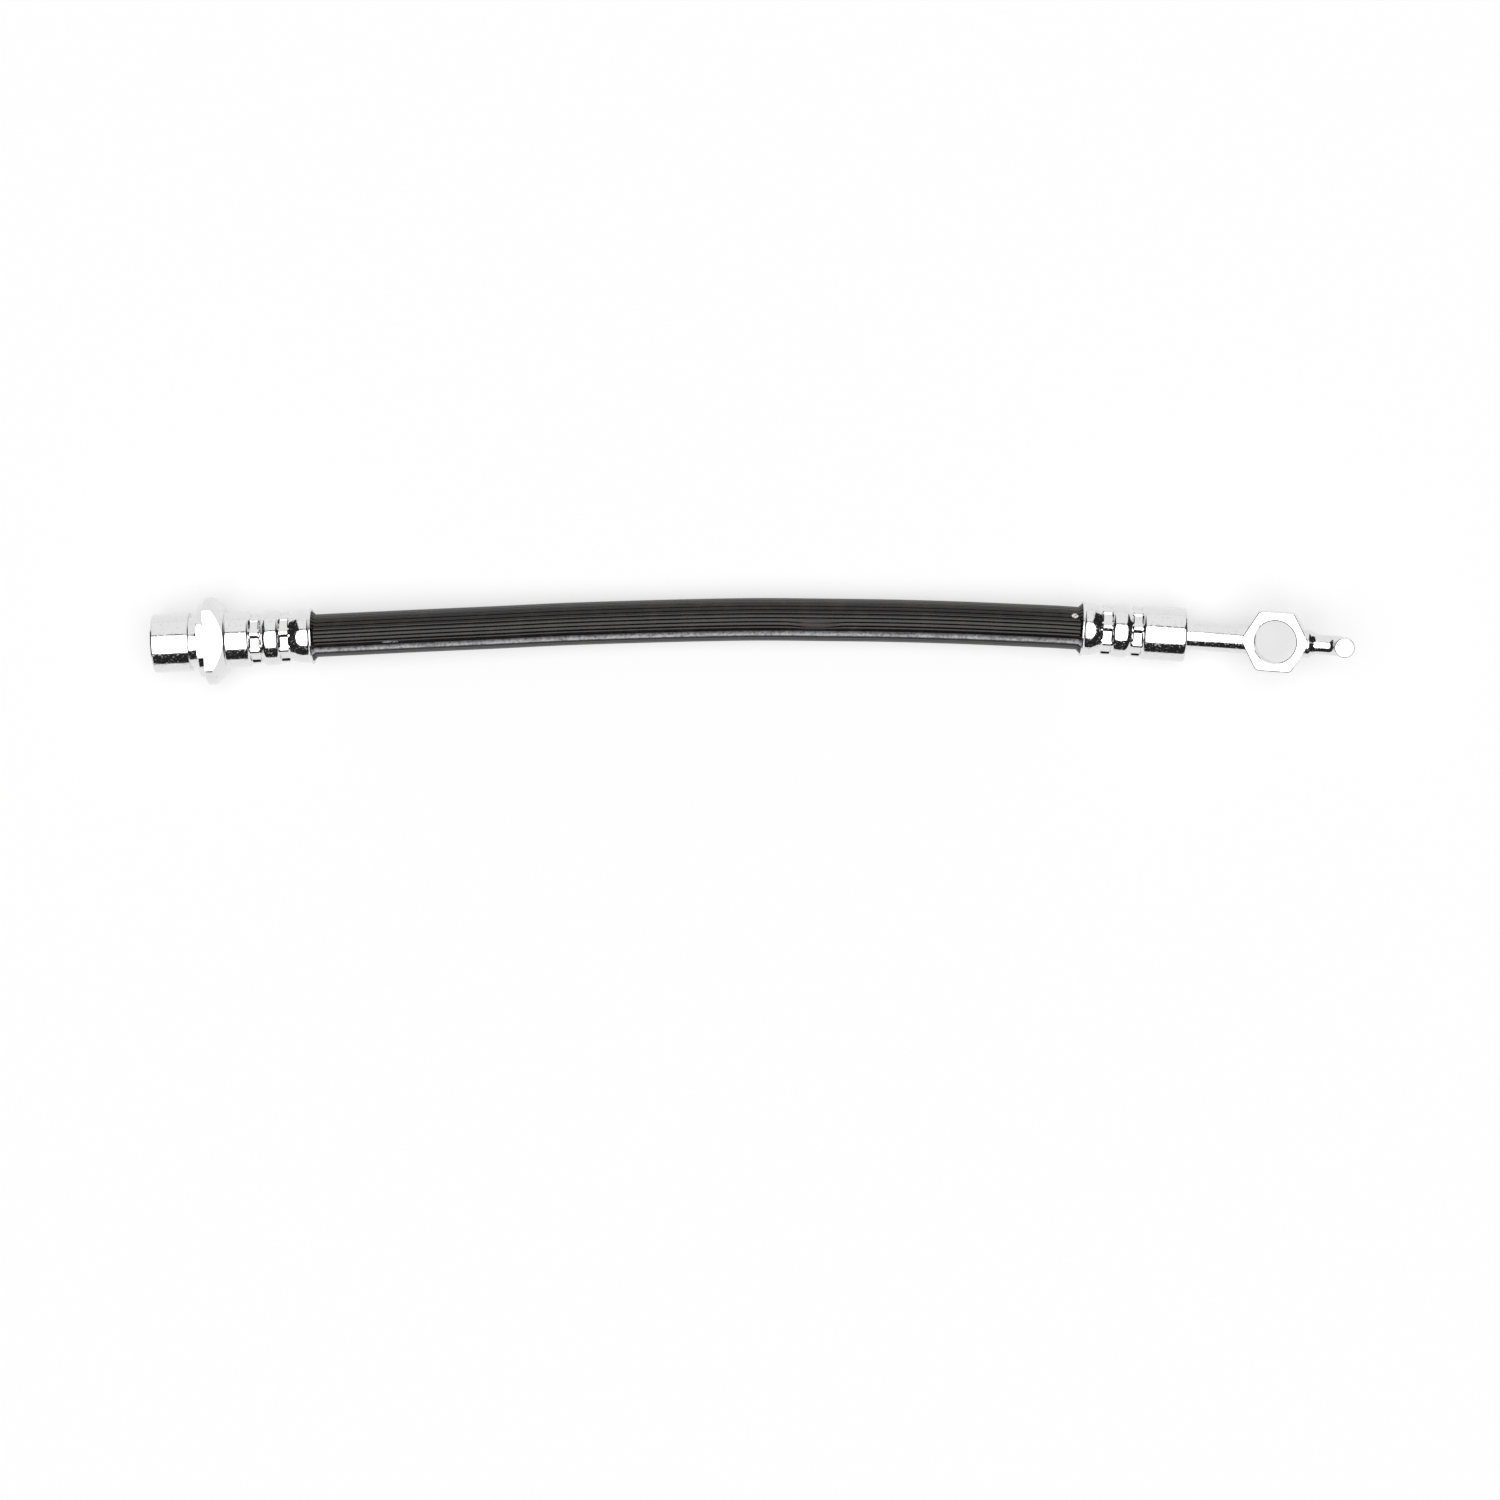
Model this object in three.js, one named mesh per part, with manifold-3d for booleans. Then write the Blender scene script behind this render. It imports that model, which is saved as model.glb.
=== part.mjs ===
// A car's flexible brake hose: a rubber hose crimped into a female port fitting at one end
// and into a banjo fitting with a hexagonal eye and a locating pin at the other.
// Millimetres, +Z up. +X runs from the port to the banjo. The hose lies on the surface Z = 0.
import * as THREE from "three";
import { mergeVertices } from "three/addons/utils/BufferGeometryUtils.js";
import Module from "manifold-3d";

// Hose
const hoseDiameter = 10.3;
const hoseBore = 3.3;
const hoseSides = 12;
const hoseSteps = 10;
const hoseIntoMouth = 1; // how far the round hose reaches inside each mouth
const sleeveInset = 0.2; // how far inside the round hose's skin the squeezed end starts
const socketGap = 0.3; // between the squeezed rubber and the metal around it

// Crimped sockets, which are alike on both fittings
const socketWall = 1.1;
const crimpRidgeDiameter = 11.7; // over the ridges between the jaw marks
const crimpAcrossFlats = 10.9; // over the jaw marks
const crimpJaws = 8;
const lipFlare = 0.25; // how far the rolled mouth stands out
const lipLength = 0.7;
// Each crimp's jaw marks, from the root to the mouth: how far inside the mouth they start, how wide they
// are, and how long the slopes beside them are.
const femaleCrimps = [
  { inside: 12.5, width: 2.1, rootSlope: 0.8, mouthSlope: 1.6, next: "bulge" },
  { inside: 5.3, width: 2.2, rootSlope: 0.7, mouthSlope: 3.3, next: "mouth" },
];
const banjoCrimps = [
  { inside: 12.3, width: 2, rootSlope: 1, mouthSlope: 1.5, next: "bulge" },
  { inside: 4.6, width: 2.5, rootSlope: 0.6, mouthSlope: 2.8, next: "mouth" },
];
const femaleCrimpTurn = 11; // degrees that the top jaw mark leans from the top
const banjoCrimpTurn = -11;
const bulgeRelief = 0.1; // how much lower the bulge between two crimps stands than the plain shell

// Female end, lengths along its axis
const noseDiameter = 14.1;
const noseLength = 8.9;
const noseChamfer = 0.4;
const grooveDiameter = 12;
const grooveWidth = 2.2;
const collarDiameter = 17.4;
const collarWidth = 1.65;
const flangeDiameter = 21.2;
const flangeWidth = 2.25;
const flangeBackDiameter = 15.5; // where the flange's cone meets its crease
const flangeConeLength = 2.1;
const flangeCrease = 0.55;
const flatsAcross = 15.5; // the two flats on the collar and the flange
const edgeBreak = 0.25;
const femaleShellDiameter = 13.4;
const femaleShellLength = 20.6;
const femaleSocketSetback = 0.4; // from the crease to the socket's floor
const femaleMouthDiameter = 12.7;
const portMinorDiameter = 8.9; // M10 x 1 thread, cut at its minor diameter
const portMouthDiameter = 10.4;
const portDepth = 10.8;
const portSeatHeight = 1.7; // inverted flare seat that stands up from the port's floor
const portSeatDiameter = 6.8;
const portSeatTipDiameter = 4;
const passageDiameter = 3;

// Inserts that the hose is squeezed on to
const insertDiameter = 4;
const insertBore = 2.4;
const barbDiameter = 4.6;
const barbCount = 4;
const barbPitch = 3.4;
const barbEdge = 0.1; // how long a barb's steep side is
const insertTip = 1.5; // set back from the mouth
const insertTaper = 0.3; // the insert's lead-in
const insertRootChamfer = 0.2;
const insertSeatDepth = 3.2; // how far the female insert is pressed into its body
const pressGap = 0.1;

// Banjo end, lengths along its axis
const banjoShellDiameter = 13;
const banjoShellLength = 25.1;
const banjoMouthDiameter = 12.6;
const banjoEndWall = 1.6;
const banjoEndRound = 0.5;
const neckDiameter = 7;
const neckBore = 3.2;
const boreTaper = 1; // from the neck's bore to the insert's
const neckShoulderDiameter = 8.6;
const neckShoulderLength = 1.4;
const neckStraight = 2; // from the shell to the bend
const neckBendRadius = 35;
const neckBendAngle = 11; // degrees, up from the shell's axis
const eyeDistance = 21.9; // from the shell's end to the eye's centre, along the neck

// Eye and locating pin
const eyeCorners = 6;
const eyeAcross = 14; // from flat to flat
const eyeThickness = 9.5;
const eyeCornerRadius = 1.8;
const eyeBore = 10.2;
const eyeChamfer = 0.35;
const neckIntoEye = 1.2;
const pinDiameter = 4.6;
const pinIntoEye = 1.3;
const pinReach = 16.1; // from the eye's centre to the axis of the pin's upright end
const pinHeight = 5; // above the eye's upper face
const pinBendRadius = 4;
const pinEndChamfer = 0.35;
const pinFilletDiameter = 6.6; // braze fillet where the pin leaves the eye
const pinFilletLength = 3.6;
const pinFilletFoot = 0.15; // how far the fillet still stands out where it ends

// Where the two mouths lie, how the fittings are turned, and the hose's route between them
const mouthsApart = 184.6; // along X
const femaleMouth = { x: -105, y: 1.2, heading: 2.8 };
const banjoMouth = { x: femaleMouth.x + mouthsApart, y: 3, heading: -3.65, roll: -3 };
const mouthStraight = 6; // the hose leaves each mouth straight
// Each point is a share of the way from mouth to mouth along X, then Y and Z.
const hoseRoute = [
  [0.07, 1.82, 7.6],
  [0.145, 2.48, 7.1],
  [0.235, 3.22, 6.3],
  [0.32, 3.98, 5.6],
  [0.405, 4.52, 5.25],
  [0.495, 4.96, 5.2],
  [0.58, 5.2, 5.2],
  [0.665, 5.08, 5.2],
  [0.755, 4.85, 5.2],
  [0.84, 4.4, 5.4],
  [0.915, 3.82, 5.95],
];

// How finely curves are cut
const turnedSides = 36;
const smallSides = 20;
const curveSteps = 3;
const bendSteps = 8;
const fullTurn = 360;

const wasm = await Module();
wasm.setup();

const zinc = new THREE.MeshStandardMaterial({ name: "zinc", color: 0xc9cbca, metalness: 1, roughness: 0.28 });
const rubber = new THREE.MeshStandardMaterial({ name: "rubber", color: 0x1b1a19, roughness: 0.6 });

// Solids

function solidOf(geometry) {
  geometry.deleteAttribute("normal");
  geometry.deleteAttribute("uv");
  const merged = mergeVertices(geometry, 1e-4);
  return new wasm.Manifold(
    new wasm.Mesh({
      numProp: 3,
      vertProperties: new Float32Array(merged.attributes.position.array),
      triVerts: new Uint32Array(merged.index.array),
    }),
  );
}

function meshOf(name, solid, material) {
  const { vertProperties, triVerts } = solid.getMesh();
  const geometry = new THREE.BufferGeometry()
    .setAttribute("position", new THREE.BufferAttribute(vertProperties, 3))
    .setIndex(new THREE.BufferAttribute(triVerts, 1))
    .toNonIndexed();
  geometry.computeVertexNormals();
  const mesh = new THREE.Mesh(geometry, material);
  mesh.name = name;
  return mesh;
}

// A closed half section, with x the radius and y the place along the axis, turned about the X axis.
function turned(points, sides) {
  const closed = [...points, points[0]];
  return new THREE.LatheGeometry(closed, sides).rotateZ(-Math.PI / 2);
}

function rod(radius, from, to, sides) {
  const profile = [
    new THREE.Vector2(0, from),
    new THREE.Vector2(radius, from),
    new THREE.Vector2(radius, to),
    new THREE.Vector2(0, to),
  ];
  return new THREE.LatheGeometry(profile, sides).rotateZ(-Math.PI / 2);
}

// Bends what lies beyond -startAt on the X axis up towards +Z, round an arc.
function bentPoint(point, startAt, radius, angle) {
  const beyond = -point.x - startAt;
  if (beyond <= 0) return point.clone();
  const turn = Math.min(beyond / radius, angle);
  const straight = beyond - turn * radius;
  const sin = Math.sin(turn);
  const cos = Math.cos(turn);
  return new THREE.Vector3(
    -(startAt + radius * sin + straight * cos) + point.z * sin,
    point.y,
    radius * (1 - cos) + straight * sin + point.z * cos,
  );
}

function bent(geometry, startAt, radius, angle) {
  const places = geometry.attributes.position;
  const point = new THREE.Vector3();
  for (let i = 0; i < places.count; i++) {
    const moved = bentPoint(point.fromBufferAttribute(places, i), startAt, radius, angle);
    places.setXYZ(i, moved.x, moved.y, moved.z);
  }
  return geometry;
}

// Crimped sockets. A fitting is modelled with its mouth at its own origin, opening towards +X,
// so a place that lies a distance inside the mouth is at minus that distance.

// The line of a socket from its root to its mouth. radii holds plain, crimp, bulge, mouth and lip.
function socketLine(crimps, root, radii) {
  const line = new THREE.Path().moveTo(radii.plain, root);
  let radius = radii.plain;
  for (const { inside, width, rootSlope, mouthSlope, next } of crimps) {
    const from = -inside - width;
    const start = from - rootSlope;
    const halfway = from - rootSlope / 2;
    line.lineTo(radius, start);
    line.bezierCurveTo(radius, halfway, radii.crimp, halfway, radii.crimp, from);
    line.lineTo(radii.crimp, -inside);
    radius = radii[next];
    const rise = -inside + mouthSlope / 3;
    line.bezierCurveTo(radii.crimp, rise, radius, rise, radius, -inside + mouthSlope);
  }
  line.lineTo(radii.mouth, -lipLength);
  line.lineTo(radii.lip, -lipLength / 3);
  line.lineTo(radii.lip, 0);
  return line.getPoints(curveSteps);
}

function outsideRadii(shellDiameter, mouthDiameter) {
  return {
    plain: shellDiameter / 2,
    crimp: crimpRidgeDiameter / 2,
    bulge: shellDiameter / 2 - bulgeRelief,
    mouth: mouthDiameter / 2,
    lip: mouthDiameter / 2 + lipFlare,
  };
}

function insideRadii(shellDiameter, mouthDiameter) {
  const outside = outsideRadii(shellDiameter, mouthDiameter);
  return {
    plain: outside.plain - socketWall,
    crimp: crimpAcrossFlats / 2 - socketWall,
    bulge: outside.bulge - socketWall,
    mouth: hoseDiameter / 2 + socketGap,
    lip: hoseDiameter / 2 + socketGap + lipFlare,
  };
}

// Points round an arc, in degrees, with an equal step between them.
function arcPoints(x, y, radius, from, to, steps) {
  return Array.from({ length: steps + 1 }, (_, i) => {
    const angle = THREE.MathUtils.degToRad(THREE.MathUtils.lerp(from, to, i / steps));
    return new THREE.Vector2(x + radius * Math.cos(angle), y + radius * Math.sin(angle));
  });
}

// The corners of a regular polygon, the first at an angle in degrees.
function polygon(radius, sides, first) {
  return arcPoints(0, 0, radius, first, first + fullTurn, sides).slice(0, -1);
}

// What the crimping jaws press away from a socket: all that lies outside a polygon, over each crimp.
function jawCuts(crimps, crimpTurn) {
  const corner = crimpAcrossFlats / 2 / Math.cos(Math.PI / crimpJaws);
  const ring = new THREE.Shape(polygon(crimpRidgeDiameter, crimpJaws, 0));
  ring.holes.push(new THREE.Path(polygon(corner, crimpJaws, crimpTurn + fullTurn / crimpJaws / 2)));
  return crimps.map(({ inside, width }) => {
    const cut = new THREE.ExtrudeGeometry(ring, { depth: width, bevelEnabled: false });
    return solidOf(cut.rotateY(Math.PI / 2).translate(-inside - width, 0, 0));
  });
}

// Barbed stretch of an insert from its root towards its tip, as points for a half section.
function barbedLine(tip) {
  const points = [];
  for (let i = barbCount; i > 0; i--) {
    const shoulder = tip - (i - 1) * barbPitch - barbPitch / 2;
    points.push(new THREE.Vector2(insertDiameter / 2, shoulder - barbEdge));
    points.push(new THREE.Vector2(barbDiameter / 2, shoulder));
    points.push(new THREE.Vector2(insertDiameter / 2, shoulder + barbPitch / 2 - barbEdge));
  }
  return points;
}

const vector = (radius, along) => new THREE.Vector2(radius, along);

// Female end

const femaleRoot = -femaleShellLength;
const coneEnd = femaleRoot - flangeCrease;
const flangeEnd = coneEnd - flangeConeLength;
const flangeFace = flangeEnd - flangeWidth;
const collarFace = flangeFace - collarWidth;
const grooveFace = collarFace - grooveWidth;
const noseFace = grooveFace - noseLength;
const portFloor = noseFace + portDepth;
const femaleSocketFloor = femaleRoot + femaleSocketSetback;

function femaleEndBody() {
  const hollow = insideRadii(femaleShellDiameter, femaleMouthDiameter);
  const outside = [
    vector(noseDiameter / 2 - noseChamfer, noseFace),
    vector(noseDiameter / 2, noseFace + noseChamfer),
    vector(noseDiameter / 2, grooveFace),
    vector(grooveDiameter / 2, grooveFace),
    vector(grooveDiameter / 2, collarFace),
    vector(collarDiameter / 2 - edgeBreak, collarFace),
    vector(collarDiameter / 2, collarFace + edgeBreak),
    vector(collarDiameter / 2, flangeFace),
    vector(flangeDiameter / 2 - edgeBreak, flangeFace),
    vector(flangeDiameter / 2, flangeFace + edgeBreak),
    vector(flangeDiameter / 2, flangeEnd),
    vector(flangeBackDiameter / 2, coneEnd),
    ...socketLine(femaleCrimps, femaleRoot, outsideRadii(femaleShellDiameter, femaleMouthDiameter)),
  ];
  const inside = [
    ...socketLine(femaleCrimps, femaleSocketFloor, hollow).reverse(),
    vector(insertDiameter / 2 + pressGap, femaleSocketFloor),
    vector(insertDiameter / 2 + pressGap, femaleSocketFloor - insertSeatDepth),
    vector(passageDiameter / 2, femaleSocketFloor - insertSeatDepth),
    vector(passageDiameter / 2, portFloor - portSeatHeight),
    vector(portSeatTipDiameter / 2, portFloor - portSeatHeight),
    vector(portSeatDiameter / 2, portFloor),
    vector(portMinorDiameter / 2, portFloor),
    vector(portMinorDiameter / 2, noseFace + (portMouthDiameter - portMinorDiameter) / 2),
    vector(portMouthDiameter / 2, noseFace),
  ];
  let body = solidOf(turned([...outside, ...inside], turnedSides));
  for (const cut of jawCuts(femaleCrimps, femaleCrimpTurn)) body = body.subtract(cut);
  const flatLength = collarWidth + flangeWidth + flangeConeLength + flangeCrease;
  for (const side of [-1, 1]) {
    const away = flangeDiameter; // clears the flange
    const flat = new THREE.BoxGeometry(flatLength, 2 * flangeDiameter, away);
    flat.translate(collarFace + flatLength / 2, 0, side * (flatsAcross / 2 + away / 2));
    body = body.subtract(solidOf(flat));
  }
  return meshOf("female_end_body", body, zinc);
}

function femaleEndInsert() {
  const root = femaleSocketFloor - insertSeatDepth + pressGap;
  const tip = -insertTip;
  const section = [
    vector(insertDiameter / 2 - insertRootChamfer, root),
    vector(insertDiameter / 2, root + insertRootChamfer),
    ...barbedLine(tip),
    vector(insertDiameter / 2 - insertTaper, tip),
    vector(insertBore / 2, tip),
    vector(insertBore / 2, root),
  ];
  return meshOf("female_end_insert", solidOf(turned(section, smallSides)), zinc);
}

// Banjo end

const banjoEnd = -banjoShellLength;
const banjoSocketFloor = banjoEnd + banjoEndWall;
const bendStart = banjoShellLength + neckStraight;
const bendAngle = THREE.MathUtils.degToRad(neckBendAngle);
const eyeAlong = banjoShellLength + eyeDistance;

function banjoShell() {
  const skin = outsideRadii(banjoShellDiameter, banjoMouthDiameter);
  const hollow = insideRadii(banjoShellDiameter, banjoMouthDiameter);
  const outside = [
    vector(banjoShellDiameter / 2 - banjoEndRound, banjoEnd),
    vector(banjoShellDiameter / 2, banjoEnd + banjoEndRound),
    ...socketLine(banjoCrimps, banjoEnd + 2 * banjoEndRound, skin),
  ];
  const inside = [
    ...socketLine(banjoCrimps, banjoSocketFloor, hollow).reverse(),
    vector(neckDiameter / 2 + pressGap, banjoSocketFloor),
    vector(neckDiameter / 2 + pressGap, banjoEnd),
  ];
  let shell = solidOf(turned([...outside, ...inside], turnedSides));
  for (const cut of jawCuts(banjoCrimps, banjoCrimpTurn)) shell = shell.subtract(cut);
  return meshOf("banjo_shell", shell, zinc);
}

function banjoStem() {
  const shoulderEnd = banjoSocketFloor + pressGap;
  const tip = -insertTip;
  const root = -(eyeAlong - eyeCornerReach() + neckIntoEye);
  const bendLength = neckBendRadius * bendAngle;
  const neckRings = bendRings(bendLength).map((beyond) => beyond - bendStart);
  const section = [
    vector(neckDiameter / 2, root),
    ...neckRings.map((along) => vector(neckDiameter / 2, along)),
    vector(neckDiameter / 2, shoulderEnd),
    vector(neckShoulderDiameter / 2, shoulderEnd),
    vector(neckShoulderDiameter / 2, shoulderEnd + neckShoulderLength),
    vector(insertDiameter / 2, shoulderEnd + neckShoulderLength),
    ...barbedLine(tip),
    vector(insertDiameter / 2 - insertTaper, tip),
    vector(insertBore / 2, tip),
    vector(insertBore / 2, banjoSocketFloor),
    vector(neckBore / 2, banjoSocketFloor - boreTaper),
    ...[...neckRings].reverse().map((along) => vector(neckBore / 2, along)),
    vector(neckBore / 2, root),
  ];
  const stem = bent(turned(section, smallSides), bendStart, neckBendRadius, bendAngle);
  return meshOf("banjo_stem", solidOf(stem), zinc);
}

// Places along a bend, from its far end back to its start.
function bendRings(length) {
  return Array.from({ length: bendSteps + 1 }, (_, i) => -length * (1 - i / bendSteps));
}

// Distance from the eye's centre to the centre of a corner's rounding.
function eyeCornerCentre() {
  return (eyeAcross / 2 - eyeCornerRadius) / Math.cos(Math.PI / eyeCorners);
}

function eyeCornerReach() {
  return eyeCornerCentre() + eyeCornerRadius;
}

// The eye's outline: a hexagon with rounded corners, two of them on the X axis, grown by an offset.
function eyeOutline(offset) {
  const half = fullTurn / eyeCorners / 2;
  const corners = polygon(eyeCornerCentre(), eyeCorners, 0).flatMap(({ x, y }, i) => {
    const turn = 2 * half * i;
    return arcPoints(x, y, eyeCornerRadius + offset, turn - half, turn + half, curveSteps);
  });
  return new THREE.Shape(corners);
}

function banjoEye() {
  const outline = eyeOutline(0);
  outline.holes.push(new THREE.Path(polygon(eyeBore / 2, turnedSides, 0)));
  const block = new THREE.ExtrudeGeometry(outline, {
    depth: eyeThickness - 2 * eyeChamfer,
    bevelEnabled: true,
    bevelThickness: eyeChamfer,
    bevelSize: eyeChamfer,
    bevelOffset: -eyeChamfer,
    bevelSegments: 1,
  }).translate(0, 0, eyeChamfer - eyeThickness / 2);
  const far = eyeAcross;
  const neckSocketFloor = eyeCornerReach() - neckIntoEye - pressGap;
  const neckSocket = rod(neckDiameter / 2 + pressGap, neckSocketFloor, far, smallSides);
  const crossHole = rod(neckBore / 2, 0, far, smallSides);
  const pinSocketFloor = eyeCornerReach() - pinIntoEye - pressGap;
  const pinSocket = rod(pinDiameter / 2 + pressGap, -far, -pinSocketFloor, smallSides);
  const eye = solidOf(block)
    .subtract(solidOf(neckSocket))
    .subtract(solidOf(crossHole))
    .subtract(solidOf(pinSocket));
  return meshOf("banjo_eye", eye, zinc);
}

function locatingPin() {
  const root = eyeCornerReach() - pinIntoEye;
  const upright = eyeThickness / 2 + pinHeight;
  const bendAt = pinReach - pinBendRadius;
  const length = bendAt + (pinBendRadius * Math.PI) / 2 + upright - pinBendRadius;
  const radius = pinDiameter / 2;
  const section = [
    vector(0, -length),
    vector(radius - pinEndChamfer, -length),
    vector(radius, -length + pinEndChamfer),
    ...bendRings((pinBendRadius * Math.PI) / 2).map((beyond) => vector(radius, beyond - bendAt)),
    vector(radius, -root),
    vector(0, -root),
  ];
  const pin = bent(
    new THREE.LatheGeometry(section, smallSides).rotateZ(-Math.PI / 2),
    bendAt,
    pinBendRadius,
    Math.PI / 2,
  );
  const filletEnd = root + pinFilletLength;
  const fillet = [
    vector(0, -filletEnd),
    vector(radius, -filletEnd),
    vector(radius + pinFilletFoot, -filletEnd + pinFilletLength / 3),
    vector(pinFilletDiameter / 2, -root + pinIntoEye / 2),
    vector(0, -root + pinIntoEye / 2),
  ];
  const eyeSpace = new THREE.ExtrudeGeometry(eyeOutline(pressGap), {
    depth: 2 * eyeThickness,
    bevelEnabled: false,
  }).translate(0, 0, -eyeThickness);
  const flare = solidOf(new THREE.LatheGeometry(fillet, smallSides).rotateZ(-Math.PI / 2));
  return meshOf("locating_pin", solidOf(pin).add(flare.subtract(solidOf(eyeSpace))), zinc);
}

// Hose

// The end of the hose inside a socket, squeezed between the socket and the insert.
function squeezedEnd(crimps, floor, shellDiameter, mouthDiameter) {
  const radii = insideRadii(shellDiameter, mouthDiameter);
  const rubberRadii = Object.fromEntries(
    Object.entries(radii).map(([place, radius]) => [place, Math.min(radius - socketGap, hoseDiameter / 2)]),
  );
  const sleeve = hoseDiameter / 2 - sleeveInset;
  const sleeveBore = hoseBore / 2 + sleeveInset / 4;
  const outside = socketLine(crimps, floor + socketGap, { ...rubberRadii, mouth: sleeve, lip: sleeve });
  const overInsert = barbDiameter / 2 + socketGap;
  const inside = [
    vector(sleeveBore, 0),
    vector(sleeveBore, -hoseIntoMouth),
    vector(overInsert, -hoseIntoMouth - socketGap),
    vector(overInsert, floor + socketGap),
  ];
  return turned([...outside, ...inside], hoseSides);
}

function fittingMatrix({ x, y, z, heading, roll = 0 }, facing) {
  const turn = new THREE.Euler(
    THREE.MathUtils.degToRad(roll),
    0,
    THREE.MathUtils.degToRad(heading) + facing,
    "ZYX",
  );
  return new THREE.Matrix4().compose(
    new THREE.Vector3(x, y, z),
    new THREE.Quaternion().setFromEuler(turn),
    new THREE.Vector3(1, 1, 1),
  );
}

// Each fitting lies on the surface: the female end on a flat, the banjo's shell on its widest place.
const femalePlace = fittingMatrix({ ...femaleMouth, z: flatsAcross / 2 }, 0);
const banjoRest = Math.max(banjoShellDiameter, banjoMouthDiameter + 2 * lipFlare) / 2;
const banjoPlace = fittingMatrix({ ...banjoMouth, z: banjoRest }, Math.PI);

function hose() {
  const at = (along, place) => new THREE.Vector3(along, 0, 0).applyMatrix4(place);
  const route = new THREE.CatmullRomCurve3([
    at(-hoseIntoMouth, femalePlace),
    at(mouthStraight, femalePlace),
    ...hoseRoute.map(([share, y, z]) => new THREE.Vector3(femaleMouth.x + share * mouthsApart, y, z)),
    at(mouthStraight, banjoPlace),
    at(-hoseIntoMouth, banjoPlace),
  ]);
  const section = new THREE.Shape(polygon(hoseDiameter / 2, hoseSides, 0));
  section.holes.push(new THREE.Path(polygon(hoseBore / 2, hoseSides, 0)));
  const free = new THREE.ExtrudeGeometry(section, {
    steps: hoseSteps,
    bevelEnabled: false,
    extrudePath: route,
  });
  const femaleEnd = squeezedEnd(femaleCrimps, femaleSocketFloor, femaleShellDiameter, femaleMouthDiameter);
  const shoulderTop = banjoSocketFloor + pressGap + neckShoulderLength;
  const banjoEndPiece = squeezedEnd(banjoCrimps, shoulderTop, banjoShellDiameter, banjoMouthDiameter);
  const whole = solidOf(free)
    .add(solidOf(femaleEnd.applyMatrix4(femalePlace)))
    .add(solidOf(banjoEndPiece.applyMatrix4(banjoPlace)));
  return meshOf("hose", whole, rubber);
}

// Assembly

function placed(matrix, ...children) {
  const group = new THREE.Group();
  group.applyMatrix4(matrix);
  return group.add(...children);
}

const eyeGroup = new THREE.Group();
eyeGroup.position.copy(bentPoint(new THREE.Vector3(-eyeAlong, 0, 0), bendStart, neckBendRadius, bendAngle));
eyeGroup.rotation.y = bendAngle;
eyeGroup.add(banjoEye(), locatingPin());

const brakeHose = new THREE.Group();
brakeHose.add(
  hose(),
  placed(femalePlace, femaleEndBody(), femaleEndInsert()),
  placed(banjoPlace, banjoShell(), banjoStem(), eyeGroup),
);

export default brakeHose;
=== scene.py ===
import math

import bmesh
import bpy
from mathutils import Matrix, Vector
from mathutils.geometry import interpolate_bezier


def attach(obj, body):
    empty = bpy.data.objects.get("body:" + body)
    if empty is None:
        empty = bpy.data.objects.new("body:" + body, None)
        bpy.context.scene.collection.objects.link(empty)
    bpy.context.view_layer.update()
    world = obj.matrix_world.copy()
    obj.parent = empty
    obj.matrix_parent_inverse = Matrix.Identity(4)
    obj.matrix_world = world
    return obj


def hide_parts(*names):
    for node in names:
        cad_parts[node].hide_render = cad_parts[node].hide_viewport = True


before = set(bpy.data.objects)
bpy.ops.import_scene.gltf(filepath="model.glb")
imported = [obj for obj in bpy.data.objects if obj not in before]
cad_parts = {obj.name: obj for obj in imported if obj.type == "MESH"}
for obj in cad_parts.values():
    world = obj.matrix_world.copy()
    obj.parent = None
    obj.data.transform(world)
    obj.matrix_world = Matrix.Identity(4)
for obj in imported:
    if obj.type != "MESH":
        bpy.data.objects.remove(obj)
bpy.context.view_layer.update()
mm = 0.001
print("frame loaded:", ", ".join(sorted(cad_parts)))


# Camera

def makeCamera():
    shot = {
        "height": 950 * mm,  # above the surface, looking straight down
        "over": (0, -2.2 * mm),
        "fieldWidth": 363.6 * mm,  # what the picture takes in at the surface
        "sensor": 36,
        "riseShare": 100 / 1500,  # the optical centre lies this far above the picture's middle
    }
    data = bpy.data.cameras.new("camera")
    data.sensor_width = shot["sensor"]
    data.lens = shot["sensor"] * shot["height"] / shot["fieldWidth"]
    data.shift_y = -shot["riseShare"]
    data.clip_end = 20
    camera = bpy.data.objects.new("camera", data)
    camera.location = (*shot["over"], shot["height"])
    bpy.context.collection.objects.link(camera)
    bpy.context.scene.camera = camera


makeCamera()
print("camera placed")


# Where the fittings lie. Each is made in millimetres with its mouth at the origin, opening towards +X.

mouthsApart = 184.6
femalePlace = {"mouth": (-105, 1.2, 7.75), "heading": 2.8, "roll": 0}
banjoPlace = {"mouth": (mouthsApart - 105, 3, 6.55), "heading": 180 - 3.65, "roll": -3}


def placeMatrix(place):
    turn = Matrix.Rotation(math.radians(place["heading"]), 4, "Z")
    roll = Matrix.Rotation(math.radians(place["roll"]), 4, "X")
    return Matrix.Translation(Vector(place["mouth"])) @ turn @ roll


femaleMatrix = placeMatrix(femalePlace)
banjoMatrix = placeMatrix(banjoPlace)


# Helpers

hair = 0.001  # millimetres: points closer than this are one


def clamp(value):
    return min(1, max(0, value))


# Evenly spaced values from start to end, about a step apart.
def spaced(start, end, step):
    count = round(abs(end - start) / step)
    return [start + (end - start) * i / count for i in range(count + 1)]


def asObject(shape, name):
    mesh = bpy.data.meshes.new(name)
    shape.to_mesh(mesh)
    shape.free()
    made = bpy.data.objects.new(name, mesh)
    bpy.context.collection.objects.link(made)
    return made


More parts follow.
